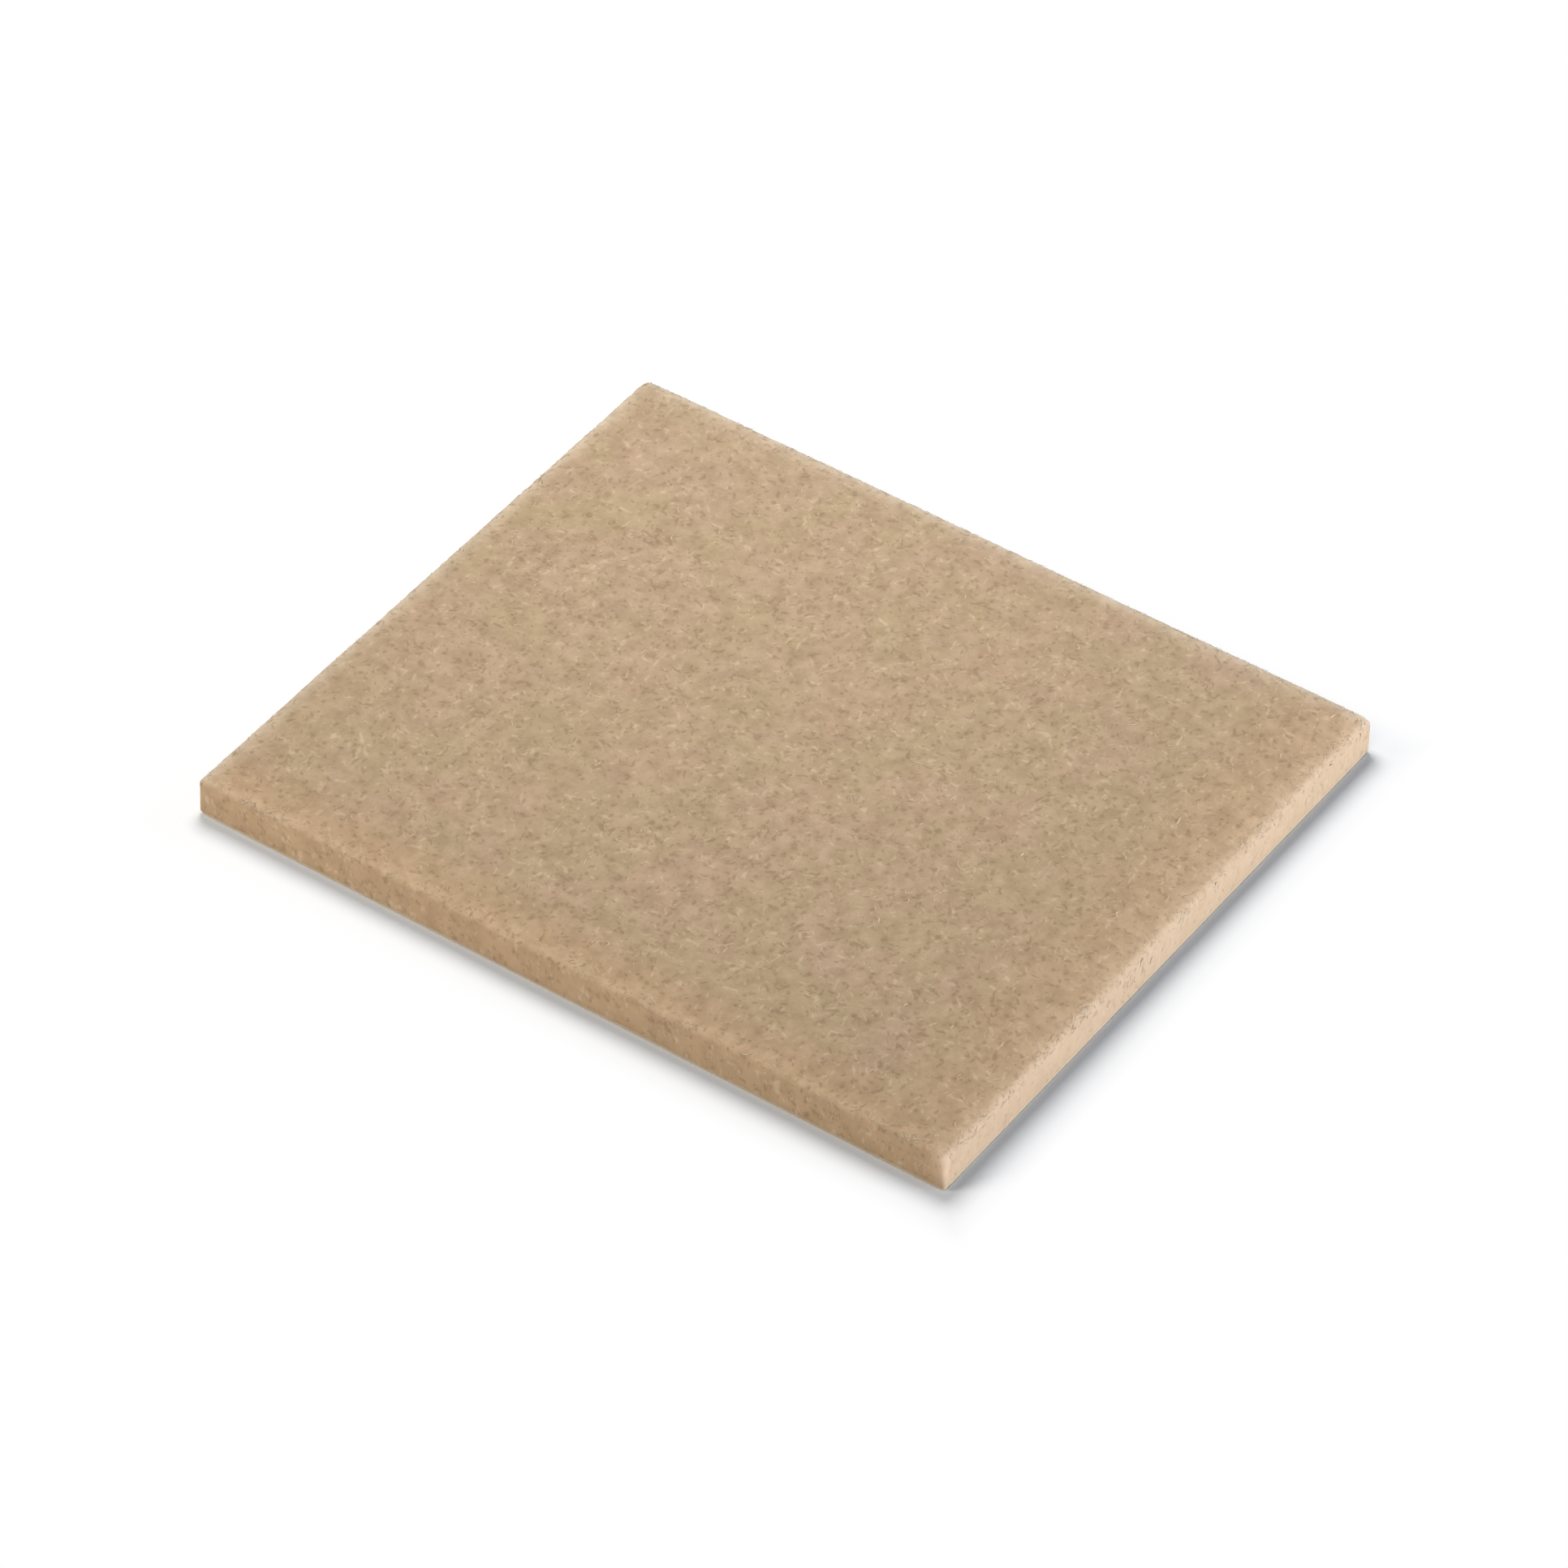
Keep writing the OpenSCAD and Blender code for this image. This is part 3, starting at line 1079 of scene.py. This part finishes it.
def adhesive_material(backing):
    """Tacky adhesive over felt: honey tint, thin places, trapped air and fibres that show faintly."""
    material, tree, position = new_material("tacky_adhesive")
    patches = placed(tree, patch_group(), position, {"Patch Size": 9.0, "Grain Size": 1.1})
    streak = {"Length": 3.0, "Width": 0.4, "Sparse": 0.66}
    fibres = placed(tree, fibre_group(), position, streak)["Fibres"]
    air = placed(tree, dent_group(), position, {"Spacing": 2.6, "Radius": 0.55})["Dents"]
    colour = layered(
        tree,
        colour4(backing.adhesive),
        (product(tree, patches["Patches"], 0.45), backing.adhesive_thin),
        (product(tree, fibres, 0.16), backing.adhesive_thin),
        (product(tree, air, 0.6), backing.film),
    )
    gloss = ramped(tree, patches["Grain"], 0.0, 1.0, 0.2, 0.38)
    rough = total(tree, gloss, product(tree, air, 0.2))
    height = total(tree, patches["Grain"], product(tree, fibres, 0.5), product(tree, air, -1.4))
    dress(tree, colour, rough, height, 0.3)
    return material


def film_material(backing):
    """Satin carrier film: off-white with faint streaks from drawing."""
    material, tree, position = new_material("carrier_film")
    patches = placed(tree, patch_group(), position, {"Patch Size": 7.0, "Grain Size": 0.8})
    drawn = vectors(tree, "MULTIPLY", position, (0.05, 2.0, 1.0))
    streaks = noise(tree, drawn, 1.0, 2.0)["Fac"]
    cloud = ramped(tree, patches["Patches"], 0.0, 1.0, 0.93, 1.0)
    tone = total(tree, cloud, ramped(tree, streaks, 0.3, 0.7, -0.04, 0.04))
    colour = vectors(tree, "SCALE", tuple(backing.film), tone)
    dress(tree, colour, ramped(tree, streaks, 0.3, 0.7, 0.34, 0.48))
    return material


def liner_material(liner):
    """Siliconised paper: tan, with fine fibres and flecks, a satin skin and slow cloudiness."""
    material, tree, position = new_material("silicone_paper")
    patches = placed(tree, patch_group(), position, {"Patch Size": 3.5, "Grain Size": 0.5})
    streak = {"Length": 1.8, "Width": 0.16, "Sparse": 0.68, "Curl": 0.8}
    fibres = placed(tree, fibre_group(), position, streak)["Fibres"]
    flecks = placed(tree, dent_group(), position, {"Spacing": 2.2, "Radius": 0.28})["Dents"]
    cloud = ramped(tree, patches["Patches"], 0.0, 1.0, 0.95, 1.03)
    tone = total(tree, cloud, ramped(tree, patches["Grain"], 0.0, 1.0, -0.025, 0.025))
    dark = total(tree, product(tree, fibres, 0.16), product(tree, flecks, 0.2))
    colour = layered(tree, colour4(liner.paper), (dark, liner.fleck))
    colour = vectors(tree, "SCALE", colour, tone)
    rough = ramped(tree, patches["Patches"], 0.0, 1.0, 0.36, 0.5)
    height = total(tree, patches["Grain"], product(tree, fibres, 0.4))
    dress(tree, colour, rough, height, depth=0.02)
    return material


def seen_directly(tree):
    """1 for rays that show the surface itself: from the camera, in a reflection or through glass."""
    path = tree.nodes.new("ShaderNodeLightPath").outputs
    return highest(tree, path["Is Camera Ray"], path["Is Glossy Ray"], path["Is Transmission Ray"])


def floor_material(stage):
    """Matte white floor that keeps shadows near the pad and is plain white far from it."""
    material, tree, position = new_material("white_floor")
    tree.nodes.remove(tree.nodes["Principled BSDF"])
    seen = seen_directly(tree)
    colour = layered(tree, colour4(stage.floor), (seen, [stage.floor_white] * 3))
    matte = add(tree, "ShaderNodeBsdfDiffuse", {"Color": colour})
    white = add(tree, "ShaderNodeEmission", {"Color": WHITE, "Strength": 1.0})
    places = add(tree, "ShaderNodeSeparateXYZ", {0: position}).outputs
    past = []
    for axis in (0, 1):
        edge = CAD_BOX[1][axis] / MM
        past.append(maths(tree, "SUBTRACT", maths(tree, "ABSOLUTE", places[axis]), edge))
    far = product(tree, ramped(tree, highest(tree, *past), *SHADOW_FADE), seen)
    mixed = add(tree, "ShaderNodeMixShader", {0: far, 1: matte.outputs[0], 2: white.outputs[0]})
    tree.links.new(mixed.outputs[0], tree.nodes["Material Output"].inputs["Surface"])
    return material


# Operators


class FELT_OT_stage(bpy.types.Operator):
    """Camera at the photograph's angle, white floor, white surroundings and four soft lamps"""

    bl_idname = "felt_slider.stage"
    bl_label = "Stage"

    def execute(self, context):
        scene = context.scene
        stage = scene.felt_slider.stage
        scene.view_settings.view_transform = "Standard"
        self.camera(scene, stage)
        self.floor(scene, stage)
        self.world(scene, stage)
        lamps = {name: self.lamp(scene, stage, name) for name in LAMPS}
        key = lamps["key"]
        key.data.spread = KEY_SPREAD
        key.rotation_quaternion = (key.location - KEY_AIM).to_track_quat("Z", "Y")
        return {"FINISHED"}

    @staticmethod
    def direction(azimuth, elevation):
        """Unit vector from the origin: azimuth 0 is the front, -Y, and 90 degrees the right, +X."""
        level = math.cos(elevation)
        return Vector((math.sin(azimuth) * level, -math.cos(azimuth) * level, math.sin(elevation)))

    def camera(self, scene, stage):
        """A camera that looks back along its direction, rolled and aimed a little off the origin."""
        data = bpy.data.cameras.new("camera")
        data.lens = stage.lens
        data.sensor_width = 36.0
        data.clip_start = 0.01
        data.clip_end = 20.0
        camera = bpy.data.objects.new("camera", data)
        scene.collection.objects.link(camera)
        back = self.direction(stage.azimuth, stage.elevation)
        right = Vector((math.cos(stage.azimuth), math.sin(stage.azimuth), 0.0))
        up = back.cross(right)
        rolled_right = right * math.cos(stage.roll) + up * math.sin(stage.roll)
        rolled_up = up * math.cos(stage.roll) - right * math.sin(stage.roll)
        place = back * stage.distance + rolled_right * stage.aim_right + rolled_up * stage.aim_up
        turn = Matrix((rolled_right, rolled_up, back)).transposed()
        camera.matrix_world = Matrix.Translation(place) @ turn.to_4x4()
        scene.camera = camera

    def floor(self, scene, stage):
        """A wide flat floor just under the liner."""
        half, under = 3.0, -0.01 * MM
        mesh = bpy.data.meshes.new("floor")
        signs = ((-1, -1), (1, -1), (1, 1), (-1, 1))
        mesh.from_pydata([(x * half, y * half, under) for x, y in signs], [], [(0, 1, 2, 3)])
        mesh.materials.append(floor_material(stage))
        floor = bpy.data.objects.new("floor", mesh)
        scene.collection.objects.link(floor)

    def world(self, scene, stage):
        """White to look at, and a weak even light for everything else."""
        world = bpy.data.worlds.new("white_surroundings")
        world.use_nodes = True
        tree = world.node_tree
        glow = tree.nodes["Background"]
        glow.inputs["Color"].default_value = WHITE
        glow.inputs["Strength"].default_value = stage.sky_share
        white = add(tree, "ShaderNodeBackground", {"Color": WHITE, "Strength": 1.0})
        inputs = {0: seen_directly(tree), 1: glow.outputs[0], 2: white.outputs[0]}
        mixed = add(tree, "ShaderNodeMixShader", inputs)
        tree.links.new(mixed.outputs[0], tree.nodes["World Output"].inputs["Surface"])
        scene.world = world

    def lamp(self, scene, stage, name):
        """A soft lamp from the table, aimed at the pad.

        A lamp of P watts at distance d lights a face it shines on at angle a from square-on with
        P cos(a) / (pi d^2), and a white face shows that over pi, so P is share pi^2 d^2 / cos(a).
        """
        azimuth, elevation, distance, size, colour = LAMPS[name]
        away = self.direction(math.radians(azimuth), math.radians(elevation))
        share = getattr(stage, f"{name}_share")
        data = bpy.data.lights.new(f"{name}_lamp", "AREA")
        data.shape = "RECTANGLE"
        data.size, data.size_y = size
        data.energy = share * math.pi**2 * distance**2 / math.sin(math.radians(elevation))
        data.color = colour
        lamp = bpy.data.objects.new(f"{name}_lamp", data)
        scene.collection.objects.link(lamp)
        lamp.location = away * distance
        lamp.rotation_mode = "QUATERNION"
        lamp.rotation_quaternion = away.to_track_quat("Z", "Y")
        lamp.visible_camera = False
        return lamp


class FELT_OT_slab(bpy.types.Operator):
    """Felt slab with its soft shoulders, cut walls and relief"""

    bl_idname = "felt_slider.slab"
    bl_label = "Felt slab"

    def execute(self, context):
        felt = context.scene.felt_slider.felt
        shape = FeltForm(felt).relieved()
        piece = slab_piece("felt_slab", shape, felt_material(felt), FELT_VALUES)
        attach(piece, "pad")
        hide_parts("felt_pad")
        return {"FINISHED"}


class FELT_OT_fibres(bpy.types.Operator):
    """Loose fibres on the face, the cut walls and the shoulder"""

    bl_idname = "felt_slider.fibres"
    bl_label = "Loose fibres"

    def execute(self, context):
        settings = context.scene.felt_slider
        form = FeltForm(settings.felt)
        material = fibre_material(settings.felt)
        strands = {
            "face_fibres": self.face,
            "wall_fibres": self.walls,
            "edge_tufts": self.tufts,
            "edge_hairs": self.hairs,
        }
        for name, lay in strands.items():
            paths, lift, radius, flatness, shade = lay(form, settings.fibres)
            vertices, quads, caps, bake_map = strand_tubes(form.worn(paths), lift, radius, flatness)
            shades = np.repeat(shade, STRAND_STEPS * STRAND_SIDES)
            piece = make_piece(name, vertices, [quads, caps], bake_map, material, {"shade": shades})
            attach(piece, "pad")
        return {"FINISHED"}

    def face(self, form, fibres):
        """Curled strands on the glide face, thinner at their ends."""
        rng = np.random.default_rng(21)
        count = fibres.face_count
        offsets = curls(rng, count, (0.6, 1.5), math.pi)
        edge = 0.5 * MM
        x = rng.uniform(-1, 1, count)[:, None] * (form.half_x - edge) + offsets[..., 0]
        y = rng.uniform(-1, 1, count)[:, None] * (form.half_y - edge) + offsets[..., 1]
        x = np.clip(x, edge / 2 - form.half_x, form.half_x - edge / 2)
        y = np.clip(y, edge / 2 - form.half_y, form.half_y - edge / 2)
        thick, stand = bundles(rng, count, fibres.radius, (0.5, 1.6), (0.5, 1.2))
        paths = np.stack([x, y, form.face_height(x, y) + stand], -1)
        lift = np.broadcast_to([0.0, 0.0, 1.0], (count, 3))
        radius = thick * (0.6 + 0.4 * np.sin(math.pi * ALONG))
        shade = 0.6 * rng.random(count)
        return paths, lift, radius, BUNDLE_FLATNESS, shade

    def walls(self, form, fibres):
        """Short strands on the cut walls, mostly upright, thinner at their ends."""
        rng = np.random.default_rng(22)
        count = fibres.wall_count
        offsets = curls(rng, count, (0.5, 1.7), 0.7, QUARTER_TURN)
        start = rng.uniform(0, form.girth, count)
        around, x, y, out_x, out_y = form.outline(start, offsets[..., 0])
        clear_of_foot = 0.3 * MM
        low, high = form.low + clear_of_foot, form.high - form.shoulder
        z = np.clip(rng.uniform(low, high, count)[:, None] + offsets[..., 1], low, high)
        thick, stand = bundles(rng, count, fibres.radius, (0.5, 1.4), (0.3, 0.9))
        out = form.wall_relief(around, z) + stand
        paths = np.stack([x + out * out_x, y + out * out_y, z], -1)
        lift = np.stack([out_x[:, 0], out_y[:, 0], np.zeros(count)], -1)
        radius = thick * (0.6 + 0.4 * np.sin(math.pi * ALONG))
        # Strands on the brightly lit right wall are darker, painted shade
        shade = rng.random(count) ** 2 * (1 - RIGHT_DARKER * np.clip(out_x[:, 0], 0, 1))
        return paths, lift, radius, BUNDLE_FLATNESS, shade

    def tufts(self, form, fibres):
        """Pale flattened bundles that lie round the shoulder, mostly along the edge.

        A path is a curl whose one offset runs along the outline and whose other offset goes round the
        shoulder: past the shoulder's start it turns by offset / radius, before it the face is flat.
        """
        rng = np.random.default_rng(24)
        count = fibres.tuft_count
        offsets = curls(rng, count, (0.8, 2.1), 0.8)
        start = rng.uniform(0, form.girth, count)
        _, x, y, out_x, out_y = form.outline(start, offsets[..., 0])
        past = rng.uniform(-0.5, 0.75, count)[:, None] * MM + offsets[..., 1]
        steepest = 1.4
        turn = np.clip(past / form.shoulder, 0, steepest)
        thick, stand = bundles(rng, count, fibres.radius, (0.7, 1.5), (0.2, 0.7))
        before = np.minimum(past, 0)
        paths, lift = form.round_shoulder(x, y, out_x, out_y, turn, stand, before)
        radius = thick * (0.5 + 0.5 * np.sin(math.pi * ALONG))
        # Tufts on the brightly lit right shoulder are darker, painted shade
        shade = rng.uniform(0.3, 1.0, count) * (1 - RIGHT_DARKER * np.clip(out_x[:, 0], 0, 1))
        return paths, lift, radius, BUNDLE_FLATNESS, shade

    def hairs(self, form, fibres):
        """Fine hairs that leave the shoulder and rise off it as t^1.5 while they run along it."""
        rng = np.random.default_rng(23)
        count = fibres.hair_count
        start = rng.uniform(0, form.girth, count)
        offsets = rng.normal(0, 0.7 * MM, count)[:, None] * ALONG
        _, x, y, out_x, out_y = form.outline(start, offsets)
        turn = rng.uniform(0.1, 1.5, count)[:, None] + rng.normal(0, 0.5, count)[:, None] * ALONG
        steepest = 1.57
        turn = np.clip(turn, 0, steepest)
        root = 0.05 * MM
        stand = rng.uniform(0.05, 0.26, count)[:, None] * MM * ALONG**1.5 - root
        paths, lift = form.round_shoulder(x, y, out_x, out_y, turn, stand)
        thick = 0.25 * fibres.radius * rng.uniform(0.6, 1.2, count)[:, None]
        shade = rng.random(count)
        return paths, lift, thick * (1 - 0.6 * ALONG**2), 1.0, shade


class FELT_OT_backing(bpy.types.Operator):
    """Finishes of the tape: two adhesive coats and the carrier film between them"""

    bl_idname = "felt_slider.backing"
    bl_label = "Tape backing"

    def execute(self, context):
        backing = context.scene.felt_slider.backing
        adhesive = adhesive_material(backing)
        finishes = {
            "felt_side_adhesive": adhesive,
            "furniture_side_adhesive": adhesive,
            "carrier_film": film_material(backing),
        }
        for name, material in finishes.items():
            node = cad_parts[name]
            node.data.materials.clear()
            node.data.materials.append(material)
        return {"FINISHED"}


class FELT_OT_liner(bpy.types.Operator):
    """Sheet of siliconised release paper under the tape"""

    bl_idname = "felt_slider.liner"
    bl_label = "Release liner"

    def execute(self, context):
        liner = context.scene.felt_slider.liner
        edge = 0.2 * (LINER_HIGH[2] - LINER_LOW[2])
        corner = 0.4 * MM
        sheet = CutSlab(LINER_LOW, LINER_HIGH, edge, edge, corner, LINER_CELLS, wall_rows=1)
        piece = slab_piece("liner_sheet", sheet.build(), liner_material(liner))
        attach(piece, "liner")
        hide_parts("release_liner")
        return {"FINISHED"}


class FELT_PT_panel(bpy.types.Panel):
    """Lists the slider's operators and settings"""

    bl_idname = "FELT_PT_panel"
    bl_label = "Felt slider"
    bl_space_type = "VIEW_3D"
    bl_region_type = "UI"
    bl_category = "Felt slider"

    def draw(self, context):
        layout = self.layout
        for operator in OPERATORS:
            layout.operator(operator.bl_idname)
        settings = context.scene.felt_slider
        for part in SliderSettings.__annotations__:
            group = getattr(settings, part)
            box = layout.box()
            for name in group.__annotations__:
                box.prop(group, name)


SETTINGS = (FeltSettings, FibreSettings, BackingSettings, LinerSettings, StageSettings, SliderSettings)
OPERATORS = (FELT_OT_stage, FELT_OT_slab, FELT_OT_fibres, FELT_OT_backing, FELT_OT_liner)


def register():
    """Makes the settings, the operators and the panel known to Blender."""
    for item in (*SETTINGS, *OPERATORS, FELT_PT_panel):
        bpy.utils.register_class(item)
    bpy.types.Scene.felt_slider = PointerProperty(type=SliderSettings)


def unregister():
    """Takes them away again."""
    del bpy.types.Scene.felt_slider
    for item in reversed((*SETTINGS, *OPERATORS, FELT_PT_panel)):
        bpy.utils.unregister_class(item)


def main():
    """Builds the stage and every piece."""
    register()
    bpy.ops.felt_slider.stage()
    bpy.ops.felt_slider.slab()
    bpy.ops.felt_slider.fibres()
    bpy.ops.felt_slider.backing()
    bpy.ops.felt_slider.liner()


if __name__ == "__main__":
    main()
